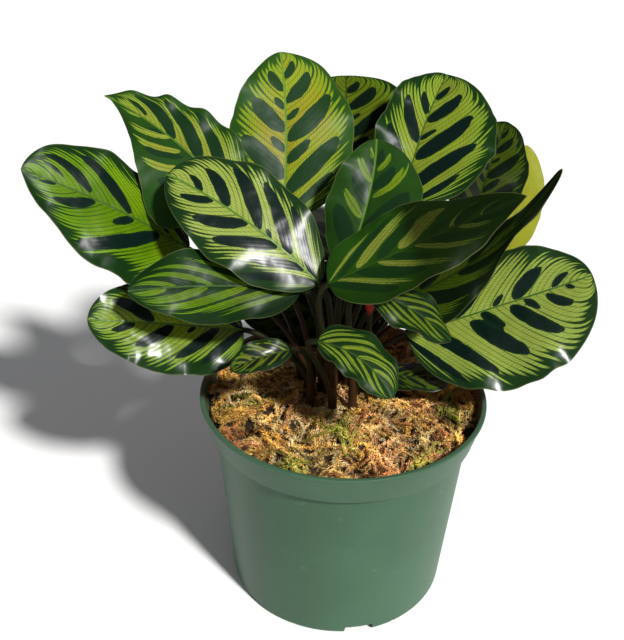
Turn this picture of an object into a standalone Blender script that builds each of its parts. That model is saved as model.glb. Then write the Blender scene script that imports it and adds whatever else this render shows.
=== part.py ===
"""A potted calathea: a round nursery pot, the potting mix and moss in it, and its leaves.

Run with: blender --background --python part.py
Units are metres and +Z is up. The origin is the centre of the flat underside of the pot, and the
plant's front faces -Y. Every leaf is one piece, a petiole that stands in its own hole in the moss
and the mix and carries one waved blade, and nothing in the pot touches anything else.
"""
import math
from collections import namedtuple

import bmesh
import bpy
import numpy as np
from mathutils import Matrix, Vector

MM = 0.001
CLEARANCE = 0.3 * MM

# Driving dimensions of the pot
RIM_RADIUS = 77.5 * MM
POT_HEIGHT = 120.0 * MM
COLLAR_HEIGHT = 17.5 * MM
COLLAR_FOOT_RADIUS = 72.8 * MM
BODY_TOP_RADIUS = 69.4 * MM
BASE_RADIUS = 61.5 * MM
WALL = 1.4 * MM
FLOOR = 1.8 * MM
LIP_WIDTH = 2.8 * MM
LIP_DEPTH = 1.6 * MM
STEP_DEPTH = 1.2 * MM
POT_SIDES = 48

# Drain slots at the foot of the wall, and the small moulding nick beside the front one
SLOT_COUNT = 4
SLOT_FIRST_ANGLE = -76.5
SLOT_WIDTH = 18.0 * MM
SLOT_TOP_WIDTH = 15.0 * MM
SLOT_HEIGHT = 4.7 * MM
SLOT_REACH = 7.0 * MM
NICK_ANGLE = -57.0
NICK_SIZE = 2.4 * MM

# What fills the pot
MIX_TOP = 103.0 * MM
MIX_SIDES = 40
MOSS_EDGE = 112.0 * MM
MOSS_RISE = 3.5 * MM
MOSS_BUMP = 1.6 * MM
MOSS_SIDES = 28
MOSS_RINGS = 6

# The crown, where the petioles stand, and the petioles themselves
CROWN = Vector((-5.0, 5.0, 0.0)) * MM
FOOT_HEIGHT = 92.0 * MM
STRAIGHT_TOP = 117.0 * MM
HOLE_PLAY = 0.35 * MM
HOLE_SIDES = 8
FOOT_RADIUS = 2.4 * MM
PETIOLE_RADIUS = 1.5 * MM
TAPER_LENGTH = 30.0 * MM
PULVINUS = 14.0 * MM
PULVINUS_SHARE = 0.35
STEM_LIFT = 0.4
PETIOLE_SECTIONS = 5

# The blades
BLADE_THICKNESS = 0.9 * MM
RIB_DEPTH = 1.2 * MM
BLADE_SECTIONS = 11
HALF_STRIPS = 3
MIDRIB_STEPS = 240
WAVE_POWER = 2.5

Leaf = namedtuple(
    "Leaf",
    "name foot base heading climb roll length width sides fold curl outline tail wave left right",
)


def leaf(name, **values):
    """One leaf's design, in millimetres and degrees, with the usual blade where nothing is said.

    foot      radius and direction of the petiole's foot from the middle of the crown
    base      where the petiole joins the blade
    heading   direction of the midrib in plan at base and tip, 0 along +X and 90 along +Y
    climb     its rise above level at base and tip
    roll      how far the blade's left side is raised, at base and tip
    length    of the midrib, and width of the whole blade
    sides     share of the half width that the left and the right half have
    fold      rise of each half from the midrib, left and right
    curl      how far each half turns up on its way to the margin, down if negative
    outline   powers of each half's outline: low first number, full base; low second, full tip
    tail      half the width that a drawn-out tip keeps
    wave      height of the margin's waves
    left      number of waves on the left margin, and the share of a wave at which they start
    right     the same on the right margin
    """
    usual = dict(
        roll=(0, 0), sides=(1, 1), fold=(8, 8), curl=(-15, -15),
        outline=((0.55, 0.62), (0.55, 0.62)), tail=0, wave=2.5, left=(3, 0.0), right=(3, 0.4),
    )
    return Leaf(name=name, **{**usual, **values})


# The leaves, from the far left round to the right, and then those at the back
LEAVES = (
    leaf("leaf_far_left", foot=(14, 180), base=(-85, 24, 189), heading=(205, 195),
         climb=(40, 26), roll=(-38, -48), length=95, width=70, sides=(0.98, 0.78), fold=(0, 14),
         curl=(-10, -20), outline=((0.45, 0.85), (0.6, 0.5))),
    leaf("leaf_upper_left", foot=(14, 150), base=(-64, 35, 218), heading=(158, 155),
         climb=(40, 15), roll=(-45, -30), length=88, width=48, sides=(1.75, 1.0), fold=(25, 10),
         curl=(-30, -10), outline=((0.3, 1.6), (0.3, 0.75)), wave=3, left=(2, 0.2),
         right=(4.5, 0.3)),
    leaf("leaf_top", foot=(7, 120), base=(-36, 38, 203), heading=(87, 105), climb=(60, 44),
         roll=(0, 5), length=95, width=75, sides=(0.83, 1.02), fold=(12, 8), curl=(-15, -25),
         outline=((0.5, 0.68), (0.5, 0.45))),
    leaf("leaf_top_behind", foot=(14, 90), base=(-6, 62, 207), heading=(85, 95), climb=(52, 30),
         length=80, width=70, sides=(0.85, 1.15), outline=((0.6, 0.42), (0.6, 0.42))),
    leaf("leaf_glossy_left", foot=(7, 240), base=(-14, -14, 191), heading=(165, 158),
         climb=(42, 14), roll=(-40, -30), length=94, width=62, sides=(0.85, 0.93),
         fold=(10, 10), curl=(-30, -20), outline=((0.55, 0.6), (0.6, 0.5))),
    leaf("leaf_upper_right", foot=(7, 60), base=(27, 42, 212), heading=(72, 66), climb=(52, 27),
         length=86, width=68, sides=(0.72, 1.22), fold=(35, 8),
         outline=((0.5, 0.55), (0.5, 0.6))),
    leaf("leaf_young_centre", foot=(0, 0), base=(-1, 6, 189), heading=(50, 92), climb=(62, 42),
         roll=(0, 5), length=72, width=50, sides=(0.82, 1.15), fold=(20, 12), curl=(-10, -20),
         wave=1.5),
    leaf("leaf_front_right", foot=(14, 270), base=(-9, -26, 197), heading=(0, 15),
         climb=(30, 21), roll=(38, 30), length=101, width=54, sides=(0.9, 0.78),
         curl=(-30, -20), outline=((0.4, 0.8), (0.5, 0.95)), wave=3, left=(2, 0.3),
         right=(2, 0.4)),
    leaf("leaf_hooked_right", foot=(7, 0), base=(19, -4, 176), heading=(0, 11), climb=(20, 64),
         roll=(48, 45), length=111, width=50, sides=(1, 0.85), fold=(5, 8), curl=(-20, -20),
         outline=((0.5, 2.3), (0.8, 3.2)), tail=3.5),
    leaf("leaf_sunlit_right", foot=(14, 30), base=(92, 74, 170), heading=(70, 72),
         climb=(76, 62), roll=(20, 20), length=64, width=32, wave=1, left=(2, 0), right=(2, 0)),
    leaf("leaf_shaded_right", foot=(14, 60), base=(66, 46, 198), heading=(70, 65),
         climb=(50, 30), roll=(25, 15), length=70, width=44),
    leaf("leaf_low_right", foot=(14, 0), base=(32, 5, 153), heading=(0, 5), climb=(22, 22),
         roll=(42, 40), length=100, width=77, sides=(0.76, 1.15),
         outline=((0.6, 0.5), (0.5, 0.5))),
    leaf("leaf_low_left", foot=(14, 210), base=(-55, 8, 150), heading=(212, 190),
         climb=(20, 6), roll=(-45, -50), length=83, width=54, sides=(1.0, 0.9),
         outline=((0.4, 0.6), (0.5, 0.5))),
    leaf("leaf_mid_left", foot=(7, 180), base=(-23, -14, 187), heading=(188, 196),
         climb=(8, -2), roll=(-45, -52), length=84, width=44, sides=(0.85, 0.9),
         curl=(-35, -15), wave=5, left=(2, 0.6), right=(2.5, 0.5)),
    leaf("leaf_front_low", foot=(21, 270), base=(-13, -40, 173), heading=(-10, -45),
         climb=(0, -48), roll=(20, 10), length=46, width=30, sides=(1.05, 0.8),
         outline=((0.4, 0.6), (0.5, 0.5)), wave=1.5),
    leaf("leaf_narrow_front", foot=(21, 300), base=(8, -24, 194), heading=(-2, -14),
         climb=(-14, -42), roll=(30, 15), length=50, width=26, wave=2.5, left=(2, 0),
         right=(2, 0)),
    leaf("leaf_small_right", foot=(14, 330), base=(16, -2, 132), heading=(-10, -10),
         climb=(10, -12), roll=(10, 10), length=40, width=22, wave=1, left=(2, 0),
         right=(2, 0)),
    leaf("leaf_small_left", foot=(21, 235), base=(-27, -27, 160), heading=(215, 190),
         climb=(5, -25), roll=(-30, -30), length=32, width=18, fold=(25, 25), wave=1,
         left=(2, 0), right=(2, 0)),
    leaf("leaf_back_left", foot=(14, 120), base=(-35, 70, 185), heading=(125, 130),
         climb=(25, -10), length=92, width=64),
    leaf("leaf_back", foot=(21, 95), base=(0, 60, 165), heading=(95, 95), climb=(20, -20),
         length=95, width=66),
    leaf("leaf_back_right", foot=(21, 48), base=(36, 52, 158), heading=(64, 58),
         climb=(20, -15), length=90, width=62),
    leaf("leaf_inner_back", foot=(21, 72), base=(20, 52, 136), heading=(178, 186),
         climb=(6, -4), roll=(-50, -50), length=82, width=42, sides=(1, 1.5), wave=1),
    leaf("leaf_back_low_left", foot=(21, 155), base=(-45, 35, 158), heading=(160, 150),
         climb=(15, -20), length=85, width=56),
)


def new_collection(name):
    collection = bpy.data.collections.new(name)
    bpy.context.scene.collection.children.link(collection)
    return collection


def clear_scene():
    """Remove the objects that a new file starts with."""
    for thing in list(bpy.data.objects):
        bpy.data.objects.remove(thing, do_unlink=True)


def material(name, colour, roughness, metallic=0.0):
    """A Principled BSDF of one colour."""
    surface = bpy.data.materials.new(name)
    surface.use_nodes = True
    shader = surface.node_tree.nodes["Principled BSDF"]
    shader.inputs["Base Color"].default_value = (*colour, 1.0)
    shader.inputs["Roughness"].default_value = roughness
    shader.inputs["Metallic"].default_value = metallic
    surface.diffuse_color = (*colour, 1.0)
    return surface


def place(name, shape, surface, collection, parent=None):
    """Finish a bmesh as an object in a collection, smooth where it is round."""
    bmesh.ops.recalc_face_normals(shape, faces=shape.faces)
    mesh = bpy.data.meshes.new(name)
    shape.to_mesh(mesh)
    shape.free()
    if surface:
        mesh.materials.append(surface)
        mesh.shade_smooth()
        mesh.set_sharp_from_angle(angle=math.radians(40))
    thing = bpy.data.objects.new(name, mesh)
    collection.objects.link(thing)
    thing.parent = parent
    return thing


def turned(name, profile, closed, sides, surface, collection, parent):
    """A profile of (radius, height) points, outer side first and top to bottom, spun about Z."""
    shape = bmesh.new()
    points = [shape.verts.new((radius, 0.0, height)) for radius, height in profile]
    for start, end in zip(points, points[1:]):
        shape.edges.new((start, end))
    if closed:
        shape.edges.new((points[-1], points[0]))
    thing = place(name, shape, surface, collection, parent)
    screw = thing.modifiers.new("turn", "SCREW")
    screw.steps = sides
    screw.render_steps = sides
    screw.use_merge_vertices = True
    screw.merge_threshold = 0.01 * MM
    screw.use_normal_calculate = True
    return thing


def cut(thing, cutter):
    """Take a cutter's shape out of an object."""
    boolean = thing.modifiers.new("cut " + cutter.name, "BOOLEAN")
    boolean.operation = "DIFFERENCE"
    boolean.solver = "EXACT"
    boolean.object = cutter
    cutter.hide_render = True
    cutter.display_type = "WIRE"


def loft(name, rings, surface, collection, parent):
    """One closed body through rings of points that run over the top and back underneath.

    The first half of a ring is its top, and the second half lies under it in reverse. Quads are
    split alike on both faces, so that a thin waved blade doesn't cut itself.
    """
    count = len(rings[0])
    top = count // 2
    shape = bmesh.new()
    loops = [[shape.verts.new(point) for point in ring] for ring in rings]
    for ring, following in zip(loops, loops[1:]):
        for this in range(count):
            after = (this + 1) % count
            if this < top:
                shape.faces.new((ring[this], following[this], following[after]))
                shape.faces.new((ring[this], following[after], ring[after]))
            else:
                shape.faces.new((ring[this], following[this], ring[after]))
                shape.faces.new((following[this], following[after], ring[after]))
    for ring in (loops[0], loops[-1]):
        for this in range(top - 1):
            under = count - 1 - this
            shape.faces.new((ring[this], ring[this + 1], ring[under - 1], ring[under]))
    return place(name, shape, surface, collection, parent)


def pot_profile():
    """The pot's section: lip, collar, step, body, floor, and back up the inside."""
    collar_foot = POT_HEIGHT - COLLAR_HEIGHT
    inner_collar = COLLAR_FOOT_RADIUS - WALL
    return (
        (RIM_RADIUS, POT_HEIGHT - 0.4 * MM),
        (RIM_RADIUS, POT_HEIGHT - LIP_DEPTH),
        (RIM_RADIUS - 0.8 * MM, POT_HEIGHT - LIP_DEPTH - 0.6 * MM),
        (COLLAR_FOOT_RADIUS, collar_foot),
        (BODY_TOP_RADIUS, collar_foot - STEP_DEPTH),
        (BASE_RADIUS, 2.0 * MM),
        (BASE_RADIUS - 1.2 * MM, 0.0),
        (0.0, 0.0),
        (0.0, FLOOR),
        (BASE_RADIUS - WALL, FLOOR),
        (BODY_TOP_RADIUS - WALL, collar_foot - STEP_DEPTH),
        (inner_collar, collar_foot + STEP_DEPTH),
        (RIM_RADIUS - LIP_WIDTH, POT_HEIGHT - LIP_DEPTH),
        (RIM_RADIUS - LIP_WIDTH + 0.6 * MM, POT_HEIGHT),
        (RIM_RADIUS - 0.5 * MM, POT_HEIGHT),
    )


def inner_radius(height):
    """Radius of the pot's inside at a height."""
    inside = sorted((z, r) for r, z in pot_profile()[9:13])
    return float(np.interp(height, [z for z, r in inside], [r for z, r in inside]))


def block(shape, width, top_width, height, depth, angle, radius):
    """A tapered block on the pot's foot, centred on a radius at an angle in degrees."""
    corners = bmesh.ops.create_cube(shape, size=1.0)["verts"]
    for corner in corners:
        half = top_width if corner.co.z > 0 else width
        corner.co = Vector((corner.co.x * depth, corner.co.y * half, corner.co.z * height))
    turn = Matrix.Rotation(math.radians(angle), 4, "Z")
    shift = Matrix.Translation((radius, 0.0, 0.0))
    bmesh.ops.transform(shape, matrix=turn @ shift, verts=corners)


def slot_cutter(collection):
    """Four drain slots through the foot of the wall, and the nick."""
    shape = bmesh.new()
    for number in range(SLOT_COUNT):
        angle = SLOT_FIRST_ANGLE + number * 360.0 / SLOT_COUNT
        block(shape, SLOT_WIDTH + (SLOT_WIDTH - SLOT_TOP_WIDTH), SLOT_TOP_WIDTH,
              2 * SLOT_HEIGHT, 2 * SLOT_REACH, angle, BASE_RADIUS)
    block(shape, NICK_SIZE, NICK_SIZE, 2 * NICK_SIZE, 3.0 * MM, NICK_ANGLE, BASE_RADIUS)
    return place("drain_slots", shape, None, collection)


def make_pot(parts, cutters, parent):
    surface = material("pot green", (0.115, 0.245, 0.150), 0.45)
    pot = turned("pot", pot_profile(), True, POT_SIDES, surface, parts, parent)
    cut(pot, slot_cutter(cutters))
    return pot


def hole_cutter(collection):
    """One plain hole for each petiole, down to just under its foot."""
    shape = bmesh.new()
    bottom = FOOT_HEIGHT - CLEARANCE
    depth = POT_HEIGHT - bottom
    for design in LEAVES:
        foot = foot_place(design)
        centre = Matrix.Translation((foot[0], foot[1], bottom + depth / 2))
        bmesh.ops.create_cone(
            shape, cap_ends=True, segments=HOLE_SIDES, radius1=hole_radius(),
            radius2=hole_radius(), depth=depth, matrix=centre)
    return place("petiole_holes", shape, None, collection)


def hole_radius():
    """Radius that leaves the play between a petiole and a hole's flat sides."""
    return (FOOT_RADIUS + HOLE_PLAY) / math.cos(math.pi / HOLE_SIDES)


def make_mix(parts, holes, parent):
    """The potting mix, which fills the pot up to the moss."""
    bottom = FLOOR + CLEARANCE
    play = 2 * CLEARANCE
    collar_foot = POT_HEIGHT - COLLAR_HEIGHT - STEP_DEPTH
    profile = (
        (0.0, MIX_TOP),
        (inner_radius(MIX_TOP) - play, MIX_TOP),
        (inner_radius(collar_foot) - play, collar_foot),
        (inner_radius(bottom) - play, bottom),
        (0.0, bottom),
    )
    surface = material("potting mix", (0.045, 0.030, 0.020), 0.95)
    mix = turned("potting_mix", profile, False, MIX_SIDES, surface, parts, parent)
    cut(mix, holes)
    return mix


def moss_height(x, y):
    """Top of the moss: a low dome with lumps."""
    away = math.hypot(x, y) / RIM_RADIUS
    lumps = math.sin(x / (7.1 * MM) + 1.3) * math.cos(y / (5.9 * MM) - 0.4)
    lumps += 0.7 * math.sin((x + y) / (4.3 * MM)) * math.cos((x - y) / (8.7 * MM) + 2.0)
    return MOSS_EDGE + MOSS_RISE * (1 - away * away) + MOSS_BUMP * lumps * 0.6


def make_moss(parts, holes, parent):
    """The moss layer on the mix: a lumpy disc with a hole for each petiole."""
    bottom = MIX_TOP + CLEARANCE
    play = 2 * CLEARANCE
    angles = [2 * math.pi * side / MOSS_SIDES for side in range(MOSS_SIDES)]

    def ring(radius, height=None):
        flat = [(radius * math.cos(angle), radius * math.sin(angle)) for angle in angles]
        return [(x, y, moss_height(x, y) if height is None else height) for x, y in flat]

    rings = [ring(inner_radius(bottom) - play, bottom)]
    for step in range(MOSS_RINGS, 0, -1):
        share = step / MOSS_RINGS
        rings.append(ring(share * (inner_radius(MOSS_EDGE) - play)))
    surface = material("moss", (0.42, 0.29, 0.13), 0.95)
    moss = loft("moss", rings, surface, parts, parent)
    cut(moss, holes)
    return moss


def between(pair, shares):
    """Values that go evenly from the first of a pair to the second."""
    return pair[0] + (pair[1] - pair[0]) * shares


def rotated(vectors, axes, angles):
    """Each vector turned about its own unit axis by its own angle."""
    cosine = np.cos(angles)[:, None]
    along = np.sum(axes * vectors, axis=1)[:, None]
    across = np.cross(axes, vectors) * np.sin(angles)[:, None]
    return vectors * cosine + across + axes * along * (1 - cosine)


def midrib(design, shares):
    """Points along a blade's midrib, with its direction, left side and upper side at each."""
    fine = np.linspace(0.0, 1.0, MIDRIB_STEPS + 1)
    heading = np.radians(between(design.heading, fine))
    climb = np.radians(between(design.climb, fine))
    roll = np.radians(between(design.roll, fine))
    direction = np.stack(
        [np.cos(climb) * np.cos(heading), np.cos(climb) * np.sin(heading), np.sin(climb)], axis=1)
    steps = (direction[1:] + direction[:-1]) / 2 * design.length / MIDRIB_STEPS
    points = np.vstack([np.zeros(3), np.cumsum(steps, axis=0)]) + np.array(design.base)
    level = np.stack([-np.sin(heading), np.cos(heading), np.zeros_like(heading)], axis=1)
    left = rotated(level, direction, roll)

    def at(values):
        return np.stack([np.interp(shares, fine, values[:, axis]) for axis in range(3)], axis=1)

    direction = at(direction)
    left = at(left)
    left /= np.linalg.norm(left, axis=1)[:, None]
    return at(points) * MM, direction, left, np.cross(direction, left)


def half_width(design, side, shares):
    """Width of one half of the blade along the midrib."""
    rise, fall = design.outline[side]
    peak = rise / (rise + fall)
    form = shares ** rise * (1 - shares) ** fall / (peak ** rise * (1 - peak) ** fall)
    width = form * design.sides[side] * design.width / 2
    return np.maximum(width, design.tail * np.sqrt(1 - shares ** 8)) * MM


def blade_rings(design, sections, half_strips):
    """Rings of points round the blade, from its base to its tip."""
    shares = 0.5 - 0.5 * np.cos(np.pi * (np.arange(sections) + 0.55) / sections)
    points, direction, left, upper = midrib(design, shares)
    top = []
    under = []
    for place_across in np.linspace(-1.0, 1.0, 2 * half_strips + 1):
        side = 0 if place_across > 0 else 1
        sign = np.sign(place_across)
        out = abs(place_across)
        width = half_width(design, side, shares)
        fold = math.radians(design.fold[side])
        curl = math.radians(design.curl[side]) or 1e-6
        angle = fold + curl * out
        sideways = sign * width * (math.sin(angle) - math.sin(fold)) / curl
        rise = width * (math.cos(fold) - math.cos(angle)) / curl
        count, start = design.right if side else design.left
        wave = np.sin(2 * np.pi * (count * shares + start)) * np.sqrt(np.sin(np.pi * shares))
        rise = rise + design.wave * MM * out ** WAVE_POWER * wave
        tilt = angle * sign
        normal = upper * math.cos(tilt) - left * math.sin(tilt)
        middle = points + left * sideways[:, None] + upper * rise[:, None]
        depth = BLADE_THICKNESS / 2 + (RIB_DEPTH * (1 - shares[:, None]) if out == 0 else 0.0)
        top.append(middle + normal * BLADE_THICKNESS / 2)
        under.append(middle - normal * depth)
    return np.stack(top + under[::-1], axis=1)


def foot_place(design):
    """Where a petiole's foot stands, in plan."""
    radius, angle = design.foot
    turn = math.radians(angle)
    return (CROWN.x + radius * MM * math.cos(turn), CROWN.y + radius * MM * math.sin(turn))


def petiole_path(design, sections):
    """The petiole's centre line: straight in its hole, then one bend up to the blade."""
    ends, direction, _, _ = midrib(design, np.array([0.0]))
    blade = ends[0]
    foot = np.array([*foot_place(design), STRAIGHT_TOP])
    reach = np.linalg.norm(blade - foot)
    above = foot + np.array([0.0, 0.0, 1.0]) * reach * STEM_LIFT
    before = blade - direction[0] * min(PULVINUS, reach * PULVINUS_SHARE)
    t = np.linspace(0.0, 1.0, sections)[:, None]
    bend = (1 - t) ** 3 * foot + 3 * (1 - t) ** 2 * t * above
    bend = bend + 3 * (1 - t) * t ** 2 * before + t ** 3 * blade
    return np.vstack([[foot[0], foot[1], FOOT_HEIGHT], bend])


def petiole_rings(design, sections, half_strips):
    """Rings of points round the petiole, from its foot to the blade."""
    path = petiole_path(design, sections)
    _, direction, left, _ = midrib(design, np.array([0.0]))
    tangents = np.gradient(path, axis=0)
    tangents[-1] = direction[0]
    tangents[0] = tangents[1] = (0.0, 0.0, 1.0)
    count = 2 * half_strips + 1
    turns = np.pi * (1 - (np.arange(2 * count) + 0.5) / count)
    side = left[0]
    rings = []
    for point, tangent in zip(path[::-1], tangents[::-1]):
        tangent = tangent / np.linalg.norm(tangent)
        side = side - tangent * np.dot(side, tangent)
        side /= np.linalg.norm(side)
        over = np.cross(tangent, side)
        taper = np.clip((point[2] - STRAIGHT_TOP) / TAPER_LENGTH, 0.0, 1.0)
        radius = FOOT_RADIUS + (PETIOLE_RADIUS - FOOT_RADIUS) * taper
        circle = np.outer(np.cos(turns), side) + np.outer(np.sin(turns), over)
        rings.append(point + radius * circle)
    return np.stack(rings[::-1])


def make_leaf(design, surface, parts, parent):
    """One leaf: petiole and blade in one closed body."""
    petiole = petiole_rings(design, PETIOLE_SECTIONS, HALF_STRIPS)
    blade = blade_rings(design, BLADE_SECTIONS, HALF_STRIPS)
    return loft(design.name, np.vstack([petiole, blade]), surface, parts, parent)


def main():
    clear_scene()
    parts = new_collection("potted_calathea")
    cutters = new_collection("cutters")
    plant = bpy.data.objects.new("potted_calathea", None)
    parts.objects.link(plant)
    make_pot(parts, cutters, plant)
    holes = hole_cutter(cutters)
    make_mix(parts, holes, plant)
    make_moss(parts, holes, plant)
    leaf_surface = material("leaf green", (0.16, 0.33, 0.05), 0.35)
    for design in LEAVES:
        make_leaf(design, leaf_surface, parts, plant)


main()
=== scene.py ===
"""The looks of a potted calathea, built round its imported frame.

Metres, +Z up, the pot's foot at the origin and the plant's front towards -Y, as in the frame. Each
leaf of the frame is replaced by a finer one of the same form, whose points carry the pattern as
attributes for the leaf material. The moss is made of separate strands on a lumpy bed.
"""
import math
from collections import namedtuple

import bpy
import numpy as np
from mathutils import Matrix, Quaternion, Vector

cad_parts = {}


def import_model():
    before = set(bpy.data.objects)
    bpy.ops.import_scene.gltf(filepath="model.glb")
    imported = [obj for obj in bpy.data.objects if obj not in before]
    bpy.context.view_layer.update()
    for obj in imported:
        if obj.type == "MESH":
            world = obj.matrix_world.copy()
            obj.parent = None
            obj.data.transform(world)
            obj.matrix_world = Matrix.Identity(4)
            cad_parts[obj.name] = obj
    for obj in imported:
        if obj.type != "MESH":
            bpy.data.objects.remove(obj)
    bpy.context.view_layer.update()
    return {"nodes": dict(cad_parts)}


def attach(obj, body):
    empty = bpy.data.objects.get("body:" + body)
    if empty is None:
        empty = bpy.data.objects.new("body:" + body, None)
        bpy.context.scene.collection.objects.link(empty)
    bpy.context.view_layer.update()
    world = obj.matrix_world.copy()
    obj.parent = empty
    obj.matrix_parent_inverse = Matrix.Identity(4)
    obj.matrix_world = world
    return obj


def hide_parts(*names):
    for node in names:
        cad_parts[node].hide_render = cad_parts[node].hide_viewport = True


MM = 0.001

# The camera of the photograph
CAMERA_PLACE = (0.0, -403.9, 389.4)
CAMERA_AIM = (-17.6, 0.0, 162.4)
CAMERA_ROLL = 1.24
CAMERA_LENS = 49.95
CAMERA_SENSOR = 36.0
CAMERA_RANGE = (0.01, 50.0)

# The light: azimuth 0 is along +X and 90 along +Y. The surround is brighter to look at.
KEY_AZIMUTH = -50.0
KEY_ELEVATION = 43.0
KEY_WIDTH = 6.0
KEY_STRENGTH = 4.6
KEY_COLOUR = (1.0, 0.99, 0.975)
SURROUND_COLOUR = (0.96, 0.98, 1.0, 1.0)
SURROUND_STRENGTH = 0.19
SURROUND_SEEN = 1.0
FLOOR_COLOUR = (0.93, 0.93, 0.93, 1.0)
FLOOR_HALF = 8000.0

# The pot, as in the frame
RIM_RADIUS = 77.5
POT_HEIGHT = 120.0
COLLAR_HEIGHT = 17.5
COLLAR_FOOT_RADIUS = 72.8
BODY_TOP_RADIUS = 69.4
BASE_RADIUS = 61.5
WALL = 1.4
FLOOR = 1.8
LIP_WIDTH = 2.8
LIP_DEPTH = 1.6
STEP_DEPTH = 1.2
POT_SIDES = 192
POT_CREASE = 35.0
ROUNDING_POINTS = 5
SLOT_COUNT = 4
SLOT_FIRST_ANGLE = -76.5
SLOT_WIDTH = 18.0
SLOT_TOP_WIDTH = 15.0
SLOT_HEIGHT = 4.7
SLOT_REACH = 7.0
NICK_ANGLE = -57.0
NICK_SIZE = 2.4
NICK_REACH = 1.5

# The moss, as in the frame, and its clumps and strands
MIX_TOP = 103.0
MOSS_EDGE = 112.0
MOSS_RISE = 3.5
MOSS_BUMP = 1.6
MOSS_GAP = 0.6
MOSS_SIDES = 120
MOSS_RINGS = 40
CLUMP_SEED = 7
CLUMP_COUNT = 96
RIM_CLUMPS = 26
CLUMP_INSET = 3.0
CLUMP_SPACING = 13.0
CLUMP_RADIUS = 11.0
CLUMP_RISE = (-1.0, 5.0)
CLUMP_HOLLOW = -4.5
CLUMP_SPREAD = 3.6
GREEN_SCATTER = 45.0
BED_DEPTH = 1.6
BED_GAP = 0.3
STRAND_POINTS = 9
STRAND_LENGTH = (11.0, 26.0)
STRAND_CLIMB = (-10.0, 40.0)
STRAND_DROOP = (3.0, 12.0)
STRAND_STRAY = 0.7
STRAND_BEND = 0.16
STRAND_WANDER = 0.12
STRAND_SUNK = (0.5, 3.0)
STRAND_HOLD = (-1.2, 3.0)
STRAND_TINT = (0.6, 1.3)
WALL_GAP = 2.2
STEM_SIDES = 3
STEM_THICKNESS = (0.25, 0.42)
STEM_TINT = 0.8
LEAFLETS = 118
LEAFLET_LENGTH = (1.8, 3.6)
LEAFLET_BREADTH = (0.26, 0.50)
LEAFLET_LEAN = (0.5, 1.5)
LEAFLET_TINT = (0.75, 1.2)
CORNER_TINT = (0.9, 0.9, 0.7, 1.15)
LEAFLET_FACES = ((0, 1, 2), (0, 3, 1), (1, 3, 2), (2, 3, 0))

# Each kind of moss: its count of strands, its share of the clumps and its colours
MOSS_KINDS = {
    "moss_straw": (370, 0.40, ((255, 218, 142), (248, 202, 118), (255, 228, 168))),
    "moss_gold": (330, 0.33, ((250, 204, 108), (240, 182, 88), (255, 218, 132))),
    "moss_brown": (260, 0.22, ((232, 174, 112), (204, 142, 88), (244, 194, 138))),
    "moss_green": (80, 0.05, ((178, 174, 76), (154, 158, 58), (206, 192, 100))),
}

# The leaves, as in the frame but with finer sections
CROWN = (-5.0, 5.0)
FOOT_HEIGHT = 92.0
STRAIGHT_TOP = 117.0
FOOT_RADIUS = 2.4
PETIOLE_RADIUS = 1.5
TAPER_LENGTH = 30.0
PULVINUS = 14.0
PULVINUS_SHARE = 0.35
STEM_LIFT = 0.4
PETIOLE_SECTIONS = 22
BLADE_HALF = 0.42
MARGIN_HALF = 0.14
RIB_DEPTH = 1.2
RIB_WIDTH = 1.3
GROOVE_DEPTH = 0.3
BLADE_SECTIONS = 72
HALF_STRIPS = 19
STRIP_POWER = 1.3
LEAF_CREASE = 50.0
MIDRIB_STEPS = 240
WAVE_POWER = 2.5
RIPPLE_HEIGHT = 0.004
RIPPLE_SHARE = 0.010
RIPPLE_COUNTS = (4.3, 5.7)
FINE_RIPPLES = 1.9

# The new leaf, still rolled up, whose red end shows below the front leaves
SHOOT_FOOT = (13.0, -6.0)
SHOOT_TIP = (11.0, -20.0, 192.0)
SHOOT_RED = (0.80, 0.86)
SHOOT_RADII = ((0.0, 0.80, 0.90, 1.0), (1.1, 1.3, 2.6, 0.4))
SHOOT_SECTIONS = 60
SHOOT_SIDES = 16

# The pattern: how side veins curve and how far apart they are, between which shares of the midrib
# the painted shade of a leaf's base ends, the egg shape of its marks, and a depth well inside any
# of them
VEIN_CURVE = 1.2
VEIN_EASE = 0.2
VEIN_SPACING = 3.5
SHADE_STEP = (0.36, 0.48)
EGG_SCALE = 1.95
EGG_RISE = 0.5
EGG_FALL = 0.45
FAR = 50.0

# Attributes traced over each blade, those that are the same all over it, and the material slots
TRACED = ("vein", "edge", "rib", "blotch", "band", "deep", "gloss")
PAINTED = ("warm", "young", "pale", "pale_rib", "thin")
TOP, UNDERSIDE, PETIOLE = range(3)

# One leaf's design, in millimetres and degrees, exactly as in the frame's source:
# foot      radius and direction of the petiole's foot from the middle of the crown
# base      where the petiole joins the blade
# heading   direction of the midrib in plan at base and tip, 0 along +X and 90 along +Y
# climb     its rise above level at base and tip
# length    of the midrib, and width of the whole blade
# roll      how far the blade's left side is raised, at base and tip
# sides     share of the half width that each half has, the left one first, as in the next three
# fold      rise of each half from the midrib
# curl      how far each half turns up on its way to the margin
# outline   powers of each half's outline, low for a full base and low for a full tip
# tail      half the width that a drawn-out tip keeps
# wave      height of the margin's waves, whose number and start are in left and right
Leaf = namedtuple(
    "Leaf",
    "name foot base heading climb length width roll sides fold curl outline tail wave left right",
    defaults=((0, 0), (1, 1), (8, 8), (-15, -15), ((0.55, 0.62), (0.55, 0.62)), 0, 2.5, (3, 0.0),
              (3, 0.4)),
)

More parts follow.
